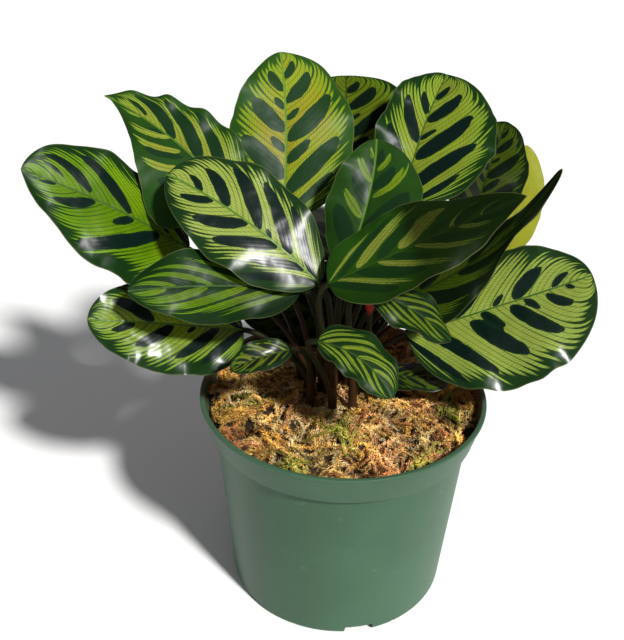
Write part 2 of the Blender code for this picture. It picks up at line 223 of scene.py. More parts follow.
# The leaves, from the far left round to the right, and then those at the back
LEAVES = (
    Leaf("leaf_far_left", (14, 180), (-85, 24, 189), (205, 195), (40, 26), 95, 70, roll=(-38, -48),
         sides=(0.98, 0.78), fold=(0, 14), curl=(-10, -20), outline=((0.45, 0.85), (0.6, 0.5))),
    Leaf("leaf_upper_left", (14, 150), (-64, 35, 218), (158, 155), (40, 15), 88, 48,
         roll=(-45, -30), sides=(1.75, 1.0), fold=(25, 10), curl=(-30, -10),
         outline=((0.3, 1.6), (0.3, 0.75)), wave=3, left=(2, 0.2), right=(4.5, 0.3)),
    Leaf("leaf_top", (7, 120), (-36, 38, 203), (87, 105), (60, 44), 95, 75, roll=(0, 5),
         sides=(0.83, 1.02), fold=(12, 8), curl=(-15, -25), outline=((0.5, 0.68), (0.5, 0.45))),
    Leaf("leaf_top_behind", (14, 90), (-6, 62, 207), (85, 95), (52, 30), 80, 70,
         sides=(0.85, 1.15), outline=((0.6, 0.42), (0.6, 0.42))),
    Leaf("leaf_glossy_left", (7, 240), (-14, -14, 191), (165, 158), (42, 14), 94, 62,
         roll=(-40, -30), sides=(0.85, 0.93), fold=(10, 10), curl=(-30, -20),
         outline=((0.55, 0.6), (0.6, 0.5))),
    Leaf("leaf_upper_right", (7, 60), (27, 42, 212), (72, 66), (52, 27), 86, 68,
         sides=(0.72, 1.22), fold=(35, 8), outline=((0.5, 0.55), (0.5, 0.6))),
    Leaf("leaf_young_centre", (0, 0), (-1, 6, 189), (50, 92), (62, 42), 72, 50, roll=(0, 5),
         sides=(0.82, 1.15), fold=(20, 12), curl=(-10, -20), wave=1.5),
    Leaf("leaf_front_right", (14, 270), (-9, -26, 197), (0, 15), (30, 21), 101, 54, roll=(38, 30),
         sides=(0.9, 0.78), curl=(-30, -20), outline=((0.4, 0.8), (0.5, 0.95)), wave=3,
         left=(2, 0.3), right=(2, 0.4)),
    Leaf("leaf_hooked_right", (7, 0), (19, -4, 176), (0, 11), (20, 64), 111, 50, roll=(48, 45),
         sides=(1, 0.85), fold=(5, 8), curl=(-20, -20), outline=((0.5, 2.3), (0.8, 3.2)),
         tail=3.5),
    Leaf("leaf_sunlit_right", (14, 30), (92, 74, 170), (70, 72), (76, 62), 64, 32, roll=(20, 20),
         wave=1, left=(2, 0), right=(2, 0)),
    Leaf("leaf_shaded_right", (14, 60), (66, 46, 198), (70, 65), (50, 30), 70, 44, roll=(25, 15)),
    Leaf("leaf_low_right", (14, 0), (32, 5, 153), (0, 5), (22, 22), 100, 77, roll=(42, 40),
         sides=(0.76, 1.15), outline=((0.6, 0.5), (0.5, 0.5))),
    Leaf("leaf_low_left", (14, 210), (-55, 8, 150), (212, 190), (20, 6), 83, 54, roll=(-45, -50),
         sides=(1.0, 0.9), outline=((0.4, 0.6), (0.5, 0.5))),
    Leaf("leaf_mid_left", (7, 180), (-23, -14, 187), (188, 196), (8, -2), 84, 44, roll=(-45, -52),
         sides=(0.85, 0.9), curl=(-35, -15), wave=5, left=(2, 0.6), right=(2.5, 0.5)),
    Leaf("leaf_front_low", (21, 270), (-13, -40, 173), (-10, -45), (0, -48), 46, 30, roll=(20, 10),
         sides=(1.05, 0.8), outline=((0.4, 0.6), (0.5, 0.5)), wave=1.5),
    Leaf("leaf_narrow_front", (21, 300), (8, -24, 194), (-2, -14), (-14, -42), 50, 26,
         roll=(30, 15), wave=2.5, left=(2, 0), right=(2, 0)),
    Leaf("leaf_small_right", (14, 330), (16, -2, 132), (-10, -10), (10, -12), 40, 22,
         roll=(10, 10), wave=1, left=(2, 0), right=(2, 0)),
    Leaf("leaf_small_left", (21, 235), (-27, -27, 160), (215, 190), (5, -25), 32, 18,
         roll=(-30, -30), fold=(25, 25), wave=1, left=(2, 0), right=(2, 0)),
    Leaf("leaf_back_left", (14, 120), (-35, 70, 185), (125, 130), (25, -10), 92, 64),
    Leaf("leaf_back", (21, 95), (0, 60, 165), (95, 95), (20, -20), 95, 66),
    Leaf("leaf_back_right", (21, 48), (36, 52, 158), (64, 58), (20, -15), 90, 62),
    Leaf("leaf_inner_back", (21, 72), (20, 52, 136), (178, 186), (6, -4), 82, 42, roll=(-50, -50),
         sides=(1, 1.5), wave=1),
    Leaf("leaf_back_low_left", (21, 155), (-45, 35, 158), (160, 150), (15, -20), 85, 56),
)

# Dark blotches of each blade, on its left and right half, in percent. Each follows a side vein:
# where along the midrib that vein starts, how far the blotch reaches to the margin, half its width
# against the midrib's length, and where it starts if that isn't close to the midrib.
USUAL_SPOTS = (
    ((76, 50, 4.6), (65, 25, 2.8), (52, 70, 6.6), (40, 28, 3.6), (25, 80, 8), (4, 80, 8),
     (-20, 85, 7, 45)),
    ((84, 30, 3.6), (69, 54, 5.6), (58, 22, 2.6), (46, 74, 7.2), (33, 36, 4.4), (16, 80, 8.4),
     (-6, 80, 7)),
)
BASE_SPOT = (((-45, 97, 6),),) * 2
SPOTS = {
    "leaf_far_left": (
        ((83, 22, 2.8), (61, 50, 5.2, 2), (38.5, 24, 3.6), (21, 88, 7.2, 4)),
        ((74, 46, 2.4, 15), (62, 70, 5.2, 8), (40, 78, 6.4, 3), (14, 44, 3.8, 8), (-8, 97, 9))),
    "leaf_glossy_left": (
        ((72, 46, 4.6), (50, 66, 5.8), (31, 70, 6.6), (13, 62, 6.2), (-6, 95, 7)),
        ((80, 30, 3.6), (64, 60, 5.2), (43, 80, 6.2), (35, 14, 2), (23, 80, 6.8), (4, 80, 7))),
    "leaf_upper_left": (
        ((55, 25, 2.4), (31, 68, 3, 12), (8, 70, 6)),
        ((67, 50, 4, 12), (49, 78, 7.8), (28, 82, 8.8), (4, 88, 8.5))),
    "leaf_upper_right": (
        ((65, 40, 4.6, 2), (44, 68, 7), (14, 80, 9)),
        ((78, 26, 4), (60, 50, 7), (45.5, 18, 2.4), (33, 66, 8), (8, 76, 8.6), (-18, 75, 7, 30))),
    "leaf_young_centre": (
        ((76, 24, 5), (54, 60, 8), (16, 80, 13)),
        ((82, 30, 5), (62, 50, 6), (28, 80, 14))),
    "leaf_front_right": (
        ((80, 50, 4.5), (66, 70, 6), (54, 30, 3.6), (28, 60, 6), (6, 85, 4)),
        ((74, 55, 5.5), (54, 65, 6), (34, 45, 4), (16, 75, 6.5), (-5, 85, 6.5))),
    "leaf_hooked_right": (
        ((70, 50, 5), (45, 70, 6), (20, 75, 6.5)),
        ((62, 60, 6), (38, 70, 6), (13, 90, 8))),
    "leaf_low_right": (
        ((80, 32, 3), (60.5, 52, 5.8), (49, 20, 2.6), (28, 70, 6)),
        ((86, 14, 1.6), (75, 38, 3.6, 4), (64.5, 22, 2.2), (56.5, 64, 5.2, 3), (42, 28, 3.4),
         (34, 68, 6, 6), (11, 80, 5.6), (-12, 90, 6))),
    "leaf_low_left": (
        ((74, 34, 4.2), (50, 58, 5.8), (34, 16, 2.2), (20, 70, 6), (-2, 80, 7)),
        ((62, 66, 7), (30, 68, 6.8), (0, 80, 7))),
    "leaf_sunlit_right": (((50, 40, 3), (20, 50, 3.6)),) * 2,
    "leaf_mid_left": BASE_SPOT,
    "leaf_front_low": BASE_SPOT,
    "leaf_narrow_front": BASE_SPOT,
}

# Light bands of the halves that are dark but for a few, given in the same way
ALONG = ((66, 80, 6), (46, 92, 6.2), (26, 95, 6), (6, 97, 5.8), (-14, 97, 5.6), (-34, 97, 5))
BANDS = {
    "leaf_upper_left": (
        ((72, 70, 4), (50, 80, 4), (36, 85, 3.6, 10), (20, 85, 3.4, 10)),
        None),
    "leaf_young_centre": (
        ((84, 36, 3.4, 4), (67, 68, 4.4, 2), (39, 68, 4.2, 2)),
        ((74, 48, 2.6, 6), (54, 98, 4.4, 6), (30, 60, 2.4, 30))),
    "leaf_front_right": (
        ((-2, 95, 2.2, 6), (16, 92, 6, 3), (39, 66, 7.2, 2), (62, 60, 3.4), (78, 50, 3.4)),
        ((66, 80, 3.4), (45, 90, 3.4), (26, 90, 3.4), (5, 95, 3.4))),
    "leaf_front_low": (ALONG, ALONG),
    "leaf_narrow_front": (ALONG, ALONG),
    "leaf_mid_left": (
        ((80, 70, 8.5), (56, 88, 9.5), (33, 95, 8.8), (12, 97, 7.8), (-8, 97, 6.6)),
        ((74, 60, 6), (52, 72, 5.6), (32, 80, 5), (12, 85, 4))),
}

# How a blade differs from the usual: warm is the yellow in its light bands, young how light a green
# its dark parts have, deep how much painted shade darkens its left base, its right base and the
# rest, pale how whitish its light bands are as a painted sheen, pale_rib how light its midrib is,
# thin how much light comes through and how far its colour is painted the yellow of light shining
# through, gloss how polished its base and its tip are, and sweep how far along the midrib a side
# vein runs to the margin, on the left and on the right. One number stands for all of a group.
Look = namedtuple(
    "Look", "warm young deep pale pale_rib thin gloss sweep",
    defaults=(0.15, 0.1, 0.0, 0.1, 0.2, 0.0, 0.6, 0.42),
)
LOOKS = {
    "leaf_far_left": Look(warm=0.0, pale=0.0, gloss=(0.9, 0.3), sweep=0.5),
    "leaf_upper_left": Look(
        warm=0.6, young=0.6, pale=0.4, pale_rib=0.5, gloss=0.15, sweep=(0.4, 0.5)),
    "leaf_top": Look(warm=0.85, young=0.8, pale_rib=0.8, gloss=0.1, sweep=(0.26, 0.42)),
    "leaf_top_behind": Look(warm=0.25, deep=(0.75, 0.75, 0.42), gloss=0.2),
    "leaf_glossy_left": Look(warm=0.25, pale=0.9, pale_rib=0.6, gloss=(0.3, 1.0)),
    "leaf_upper_right": Look(warm=0.4, pale=0.3, pale_rib=0.2, gloss=0.5, sweep=(0.42, 0.55)),
    "leaf_young_centre": Look(
        warm=0.1, young=0.6, deep=0.15, pale_rib=0.7, gloss=0.3, sweep=(0.3, 0.4)),
    "leaf_front_right": Look(warm=0.6, young=1.0, deep=(0.0, 0.70, 0.88), pale=0.6, gloss=0.3),
    "leaf_hooked_right": Look(warm=0.1, deep=(0.80, 0.76, 0.88), gloss=0.3),
    "leaf_sunlit_right": Look(warm=1.0, young=1.0, pale=0.2, pale_rib=0.7, thin=1.0, gloss=0.2),
    "leaf_shaded_right": Look(warm=0.2, deep=(0.8, 0.8, 0.75), gloss=0.1),
    "leaf_low_right": Look(warm=0.15, pale=0.75, pale_rib=0.3, gloss=0.8, sweep=0.39),
    "leaf_low_left": Look(warm=0.15, pale=0.25, pale_rib=0.5, gloss=(0.8, 0.9)),
    "leaf_mid_left": Look(
        warm=0.05, pale=0.0, deep=(0.35, 0.35, 0.12), gloss=0.4, sweep=(0.75, 0.8)),
    "leaf_front_low": Look(warm=0.2, pale=0.3, deep=0.2, gloss=0.2, sweep=0.7),
    "leaf_narrow_front": Look(warm=0.2, pale=0.2, deep=0.4, gloss=0.3, sweep=0.7),
    "leaf_small_right": Look(deep=0.65),
    "leaf_small_left": Look(warm=0.5, deep=0.4),
    "leaf_inner_back": Look(deep=0.85, gloss=0.1),
}

# How shiny the tops of leaves are, and the leaves whose tops are matte or lie in painted shade,
# their sheen cut almost to none
LEAF_SHINES = {"leaf top": 0.38, "leaf top matte": 0.12, "leaf top shaded": 0.03}
MATTE = ("leaf_top", "leaf_young_centre", "leaf_upper_left", "leaf_sunlit_right",
         "leaf_upper_right", "leaf_mid_left", "leaf_front_low", "leaf_narrow_front",
         "leaf_far_left")
SHADED = ("leaf_top_behind", "leaf_shaded_right", "leaf_hooked_right", "leaf_inner_back",
          "leaf_front_right")


def srgb(red, green, blue):
    """A colour as read off a screen, 0 to 255, in the linear values that shaders take."""
    shares = np.array((red, green, blue)) / 255.0
    linear = np.where(shares <= 0.04045, shares / 12.92, ((shares + 0.055) / 1.055) ** 2.4)
    return (*(float(value) for value in linear), 1.0)


class Wire:
    """A value in a material. Sums, differences and products of wires make Math nodes."""

    def __init__(self, graph, socket):
        self.graph = graph
        self.socket = socket

    def __add__(self, other):
        return self.graph.op("ADD", self, other)

    def __sub__(self, other):
        return self.graph.op("SUBTRACT", self, other)

    def __rsub__(self, other):
        return self.graph.op("SUBTRACT", other, self)

    def __mul__(self, other):
        return self.graph.op("MULTIPLY", self, other)


class Graph:
    """A material's node tree, built by short calls. Values are wires, numbers or colours."""

    def __init__(self, name):
        self.material = bpy.data.materials.new(name)
        self.material.use_nodes = True
        self.tree = self.material.node_tree
        self.tree.nodes.clear()

    def make(self, kind, inputs, output=0, **settings):
        """A new node's output. Its inputs are fed by name or number, after its settings."""
        made = self.tree.nodes.new("ShaderNode" + kind)
        for key, value in settings.items():
            setattr(made, key, value)
        for key, value in inputs.items():
            if isinstance(value, Wire):
                self.tree.links.new(value.socket, made.inputs[key])
            else:
                made.inputs[key].default_value = value
        return Wire(self, made.outputs[output]) if made.outputs else None

    def op(self, operation, *values):
        return self.make("Math", dict(enumerate(values)), operation=operation)

    def smooth(self, value, low, high):
        """0 at low and 1 at high, with a soft step between them."""
        inputs = {"Value": value, "From Min": low, "From Max": high}
        return self.make("MapRange", inputs, interpolation_type="SMOOTHSTEP")

    def scaled(self, value, low, high):
        """A share from 0 to 1 brought to the range from low to high."""
        return self.make("MapRange", {"Value": value, "To Min": low, "To Max": high})

    def mix(self, share, first, second, blend="MIX"):
        """A mix of two wires or screen colours, at inputs 6 and 7 of a Mix node."""
        inputs = {0: share}
        for socket, value in ((6, first), (7, second)):
            inputs[socket] = value if isinstance(value, Wire) else srgb(*value)
        return self.make("Mix", inputs, 2, data_type="RGBA", blend_type=blend)

    def attribute(self, name, output="Fac"):
        return self.make("Attribute", {}, output, attribute_type="GEOMETRY", attribute_name=name)

    def chance(self, value):
        """A random share that stays the same for the same whole number."""
        return self.make("TexWhiteNoise", {"W": value}, noise_dimensions="1D")

    def place(self):
        return self.make("TexCoord", {}, "Object")

    def noise(self, scale, detail=2.0, roughness=0.5, stretch=None):
        """Noise fixed to the object, scale in cycles to the metre."""
        place = self.place()
        if stretch:
            place = self.make("Mapping", {"Vector": place, "Scale": stretch})
        inputs = {"Vector": place, "Scale": scale, "Detail": detail, "Roughness": roughness}
        return self.make("TexNoise", inputs, "Fac")

    def bump(self, height, distance, strength=1.0):
        inputs = {"Height": height, "Distance": distance, "Strength": strength}
        return self.make("Bump", inputs)

    def principled(self, **values):
        """A Principled surface, whose inputs are named with _ between words."""
        inputs = {key.replace("_", " "): value for key, value in values.items()}
        return self.make("BsdfPrincipled", inputs)

    def lit_through(self, surface, colour, share):
        """The surface, with a share of the light coming through it."""
        through = self.make("BsdfTranslucent", {"Color": colour})
        return self.make("MixShader", {0: share, 1: surface, 2: through})

    def finish(self, surface):
        self.make("OutputMaterial", {"Surface": surface})
        return self.material


def leaf_top_material(name, shine):
    """Light bands between dark blotches, fine veins, a dark feathered margin and a satin gloss."""
    graph = Graph(name)
    mix, noise, smooth, scaled = graph.mix, graph.noise, graph.smooth, graph.scaled
    vein, edge, rib, blotch, band, deep, gloss = [graph.attribute(key) for key in TRACED]
    warm, young, pale, pale_rib, thin = [graph.attribute(key) for key in PAINTED]

    # Dark lines along the side veins, hair-thin inside and broad at the margin
    nearest = graph.op("ROUND", vein)
    away = graph.op("ABSOLUTE", vein - nearest)
    strength = graph.chance(nearest)
    strength = strength * strength
    growth = smooth(edge, scaled(strength, 0.26, 0.60), 0.10)
    line_width = growth * scaled(strength, 0.10, 0.24) + scaled(strength, 0.04, 0.12)
    line = smooth(away, line_width + 0.08, line_width)
    fading = scaled(smooth(edge, 0.90, 0.30), 0.6, 1.0)
    faint = scaled(strength, 0.60, 1.0) * fading
    line = line * graph.op("MAXIMUM", faint, smooth(growth, 0.0, 0.3))

    # The dark margin, which the light reaches into as rounded fingers between side veins
    finger = graph.chance(graph.op("FLOOR", vein) + 0.37)
    finger = finger * finger
    rounding = 1.0 - away * 2.0
    margin = scaled(finger, 0.12, 0.34) + rounding * rounding * 0.13
    light = (1.0 - line) * smooth(edge, margin - 0.09, margin)

    # Dark blotches, and on dark leaves light only in their bands
    fine_wobble = scaled(noise(210.0), -0.6, 0.6)
    wobble = fine_wobble + scaled(noise(85.0), -1.6, 1.6)
    soft_blotch = blotch + wobble
    dark_spot = smooth(soft_blotch, -0.18, 0.18)
    light = light * smooth(band + wobble, -0.2, 0.3) * (1.0 - dark_spot)

    # Fine cross veins
    uneven = finger * 3.0 + scaled(noise(160.0), 0.0, 2.4)
    cross = graph.op("FRACT", rib * 0.75 + uneven)
    cross = smooth(graph.op("ABSOLUTE", cross - 0.5), 0.25, 0.05)

    # Colours of the light, the dark ground, the blotches, the midrib and the thin rim
    patches = smooth(noise(38.0, 3.0), 0.36, 0.68)
    fresh = mix(patches, (80, 114, 2), (112, 142, 10))
    yellow = mix(patches, (150, 136, 12), (140, 150, 20))
    bright = mix(warm, fresh, yellow)
    outer = mix(0.6, bright, (104, 146, 20))
    bright = mix(smooth(edge, 0.55, 0.18), bright, outer)
    # Painted sheen: a whitish wash over the light bands, as far as pale says
    bright = mix(pale * 0.8, bright, (158, 172, 84))
    bright = mix(cross * 0.36, bright, (58, 92, 12))
    cloud = noise(60.0, 3.0)
    dull = mix(cloud, (10, 34, 10), (22, 54, 18))
    lively = mix(cloud, (30, 68, 16), (48, 88, 22))
    ground = mix(young, dull, lively)
    spot = mix(smooth(soft_blotch, 0.0, 2.5), (12, 34, 20), (6, 20, 20))
    spot = mix(young * 0.95, spot, (28, 62, 26))
    colour = mix(light, mix(dark_spot, ground, spot), bright)
    rib_width = scaled(pale_rib, 0.30, 0.62)
    on_rib = smooth(rib, rib_width + 0.22, rib_width)
    colour = mix(on_rib, colour, mix(pale_rib, (26, 60, 22), (104, 142, 48)))
    # Painted light: thin leaves take the yellow of light shining through them
    colour = mix(thin * 0.85, colour, (186, 190, 58))
    # Painted shade: the blade darkened as far as the deep attribute says it lies in the shade
    colour = mix(deep, colour, (12, 19, 5))
    colour = mix(smooth(edge, 0.020, 0.008) * 0.40, colour, (112, 120, 72))

    # The quilted relief between veins, and the satin gloss
    pleat = away * away * -1.2 * smooth(edge, 0.15, 0.40)
    cockle = noise(52.0) * scaled(gloss, 16.0, 42.0)
    normal = graph.bump(pleat + noise(110.0, 3.0) * 2.2 + cockle, 0.00008, 0.7)
    grain = noise(150.0, 3.0)
    satin = scaled(grain, 0.42, 0.54) * (1.0 - gloss)
    rough = satin + scaled(grain, 0.15, 0.24) * gloss
    surface = graph.principled(
        Base_Color=colour, Roughness=rough * scaled(dark_spot, 1.0, 0.9), Normal=normal,
        Specular_IOR_Level=shine)
    glow = mix(0.5, colour, (200, 220, 60), "MULTIPLY")
    return graph.finish(graph.lit_through(surface, glow, scaled(thin, 0.14, 0.5)))


def leaf_under_material():
    """The purple underside, darker over the blotches, with raised veins."""
    graph = Graph("leaf underside")
    mix, smooth = graph.mix, graph.smooth
    vein = graph.attribute("vein")
    thin = graph.attribute("thin")
    away = graph.op("ABSOLUTE", vein - graph.op("ROUND", vein))
    dark_spot = smooth(graph.attribute("blotch"), -0.3, 0.3)
    margin = smooth(graph.attribute("edge"), 0.16, 0.06)
    rib = smooth(graph.attribute("rib"), 1.3, 0.7)
    patches = smooth(graph.noise(45.0, 3.0), 0.35, 0.7)
    colour = mix(patches, (96, 48, 62), (122, 66, 76))
    colour = mix(dark_spot * 0.7, colour, (66, 24, 44))
    colour = mix(margin, colour, (88, 62, 52))
    colour = mix(rib, colour, (140, 128, 78))
    # Painted light: thin leaves take the yellow of light shining through them
    colour = mix(smooth(thin, 0.2, 0.9), colour, (150, 150, 60))
    normal = graph.bump(smooth(away, 0.25, 0.0), 0.0002, 0.6)
    surface = graph.principled(Base_Color=colour, Roughness=0.55, Normal=normal)
    glow = mix(0.5, colour, (170, 160, 70))
    return graph.finish(graph.lit_through(surface, glow, graph.scaled(thin, 0.15, 0.5)))


def petiole_material(name="petiole", red_end=False):
    """Stalks from green to pinkish brown by the moss, darkened as painted shade, or a rolled leaf's
    red end.
    """
    graph = Graph(name)
    rise = graph.attribute("rise")
    streak = graph.noise(300.0, 3.0, stretch=(1.0, 1.0, 0.12))
    # Painted shade: both colours of the stalks are kept very dark, as under the leaves
    upper = graph.mix(streak, (14, 18, 7), (34, 34, 12))
    lower = graph.mix(streak, (30, 18, 10), (72, 46, 21))
    share = graph.smooth(rise + graph.scaled(streak, -0.1, 0.1), 0.10, 0.45)
    colour = graph.mix(share, lower, upper)
    if red_end:
        red = graph.mix(streak, (110, 22, 16), (152, 44, 30))
        colour = graph.mix(graph.smooth(rise, *SHOOT_RED), colour, red)
    return graph.finish(graph.principled(
        Base_Color=colour, Roughness=0.5, Normal=graph.bump(streak, 0.0003, 0.5),
        Specular_IOR_Level=0.12, Subsurface_Weight=0.05))


def pot_material():
    """Moulded green polypropylene with a fine grain, faint rings, dust and small scuffs."""
    graph = Graph("nursery pot")
    cloud = graph.noise(14.0, 4.0)
    colour = graph.mix(graph.smooth(cloud, 0.3, 0.7), (56, 86, 64), (64, 96, 73))
    dust = graph.smooth(graph.noise(130.0, 5.0, 0.7), 0.60, 0.78)
    colour = graph.mix(dust * 0.28, colour, (128, 140, 118))
    scuff = graph.smooth(graph.noise(260.0, 3.0, 0.6, stretch=(1.0, 1.0, 9.0)), 0.70, 0.78)
    colour = graph.mix(scuff * 0.35, colour, (150, 168, 148))
    rings = graph.noise(700.0, stretch=(0.02, 0.02, 1.0))
    normal = graph.bump(rings * 0.5 + graph.noise(2600.0) * 0.5, 0.00012, 0.5)
    return graph.finish(graph.principled(
        Base_Color=colour, Roughness=graph.scaled(cloud, 0.36, 0.50), Normal=normal,
        Specular_IOR_Level=0.2, Subsurface_Weight=0.03))


def mix_material():
    """Dark bark and peat, seen only in the drain slots."""
    graph = Graph("potting mix")
    grain = graph.make("TexVoronoi", {"Vector": graph.place(), "Scale": 380.0}, "Distance")
    shade = graph.mix(grain, (70, 50, 34), (24, 16, 11))
    colour = graph.mix(graph.noise(240.0, 3.0), shade, (96, 72, 48))
    normal = graph.bump(grain, 0.002)
    return graph.finish(graph.principled(Base_Color=colour, Roughness=0.95, Normal=normal))


def bed_material():
    """The dark tangle under the moss strands."""
    graph = Graph("moss bed")
    fibre = graph.noise(520.0, 5.0, 0.7)
    colour = graph.mix(graph.smooth(fibre, 0.38, 0.66), (30, 19, 14), (84, 56, 36))
    normal = graph.bump(fibre, 0.0022)
    return graph.finish(graph.principled(Base_Color=colour, Roughness=0.95, Normal=normal))


def strand_material():
    """Dried moss strands, coloured by their own attribute."""
    graph = Graph("moss strands")
    tint = graph.attribute("tint", "Color")
    return graph.finish(graph.principled(
        Base_Color=tint, Roughness=0.8, Specular_IOR_Level=0.1))


def floor_material():
    graph = Graph("floor")
    return graph.finish(graph.principled(Base_Color=FLOOR_COLOUR, Roughness=0.8))


def link(name, data):
    """A new object in the scene for a mesh, a camera or a light."""
    made = bpy.data.objects.new(name, data)
    bpy.context.scene.collection.objects.link(made)
    return made


def mesh_object(name, points, faces, materials=(), slots=None, values=None):
    """A smooth mesh from points in millimetres, with its point attributes."""
    mesh = bpy.data.meshes.new(name)
    mesh.from_pydata((np.reshape(points, (-1, 3)) * MM).tolist(), [], faces)
    for surface in materials:
        mesh.materials.append(surface)
    if slots is not None:
        mesh.polygons.foreach_set("material_index", np.asarray(slots, dtype=np.int32))
    for key, numbers in (values or {}).items():
        layer = mesh.attributes.new(key, "FLOAT", "POINT")
        layer.data.foreach_set("value", np.asarray(numbers, dtype=np.float32).ravel())
    mesh.shade_smooth()
    mesh.update()
    return link(name, mesh)


def ring_faces(index):
    """Quads between neighbouring rings, given the number of each point in its ring."""
    after = np.roll(index, -1, axis=-1)
    before, ahead = index[..., :-1, :], index[..., 1:, :]
    return np.stack([before, after[..., :-1, :], after[..., 1:, :], ahead], axis=-1).reshape(-1, 4)


def tube_faces(rings, sides):
    """Faces of a tube of rings, closed at both ends."""
    index = np.arange(rings * sides).reshape(rings, sides)
    return ring_faces(index).tolist() + [index[0][::-1].tolist(), index[-1].tolist()]


def even_turns(sides):
    return 2 * np.pi * np.arange(sides) / sides


def circles(radii, sides):
    """Where evenly spaced points on circles about the axis are in x and in y."""
    turns = even_turns(sides)
    return np.outer(radii, np.cos(turns)), np.outer(radii, np.sin(turns))


def hoops(side, over, turns):
    """Points at these turns of a unit circle that has the two directions as its axes."""
    return side[..., None, :] * np.cos(turns)[:, None] + over[..., None, :] * np.sin(turns)[:, None]


def bend(first, middle, last, count):
    """Points of a curve that leaves first towards middle and reaches last from there."""
    t = np.linspace(0.0, 1.0, count)[:, None]
    return (1 - t) ** 2 * first + 2 * (1 - t) * t * middle + t ** 2 * last


def between(pair, shares):
    """Values that go evenly from the first of a pair to the second."""
    return pair[0] + (pair[1] - pair[0]) * shares


def unit(vectors):
    """Each vector at the length of 1."""
    return vectors / np.maximum(np.linalg.norm(vectors, axis=-1), 1e-9)[..., None]


def towards(heading, climb):
    """Unit vectors with a heading in plan and a rise above level."""
    level = np.cos(climb)
    return np.stack([level * np.cos(heading), level * np.sin(heading), np.sin(climb)], axis=-1)


def rotated(vectors, axes, angles):
    """Each vector turned about its own unit axis by its own angle."""
    cosine = np.cos(angles)[:, None]
    along = np.sum(axes * vectors, axis=1)[:, None]
    across = np.cross(axes, vectors) * np.sin(angles)[:, None]
    return vectors * cosine + across + axes * along * (1 - cosine)


def midrib(design, shares):
    """Points along a blade's midrib, with its direction, left side and upper side at each."""
    fine = np.linspace(0.0, 1.0, MIDRIB_STEPS + 1)
    heading = np.radians(between(design.heading, fine))
    direction = towards(heading, np.radians(between(design.climb, fine)))
    steps = (direction[1:] + direction[:-1]) / 2 * design.length / MIDRIB_STEPS
    points = np.vstack([np.zeros(3), np.cumsum(steps, axis=0)]) + np.array(design.base)
    level = np.stack([-np.sin(heading), np.cos(heading), np.zeros_like(heading)], axis=1)
    left = rotated(level, direction, np.radians(between(design.roll, fine)))

    def at(values):
        return np.stack([np.interp(shares, fine, values[:, axis]) for axis in range(3)], axis=1)

    direction = at(direction)
    left = unit(at(left))
    return at(points), direction, left, np.cross(direction, left)


def half_width(design, side, shares):
    """Width of one half of the blade along the midrib."""
    rise, fall = design.outline[side]
    peak = rise / (rise + fall)
    form = shares ** rise * (1 - shares) ** fall / (peak ** rise * (1 - peak) ** fall)
    width = form * design.sides[side] * design.width / 2
    return np.maximum(width, design.tail * np.sqrt(1 - shares ** 8))


def mark_field(design, marks, start, out):
    """How deep inside a mark each point is, in millimetres, and outside them all if negative."""
    depth = np.full(start.shape, -FAR)
    for mark in marks:
        vein, reach, broad, near = [percent / 100 for percent in (*mark, 0)[:4]]
        along = (out - near) / (reach - near)
        held = np.clip(along, 0.0, 1.0)
        egg = EGG_SCALE * held ** EGG_RISE * (1 - held) ** EGG_FALL
        within = (broad * egg - np.abs(start - vein)) * design.length
        ends = min(along, 1 - along) * (reach - near) * design.width / 2
        depth = np.maximum(depth, np.minimum(within, ends))
    return depth


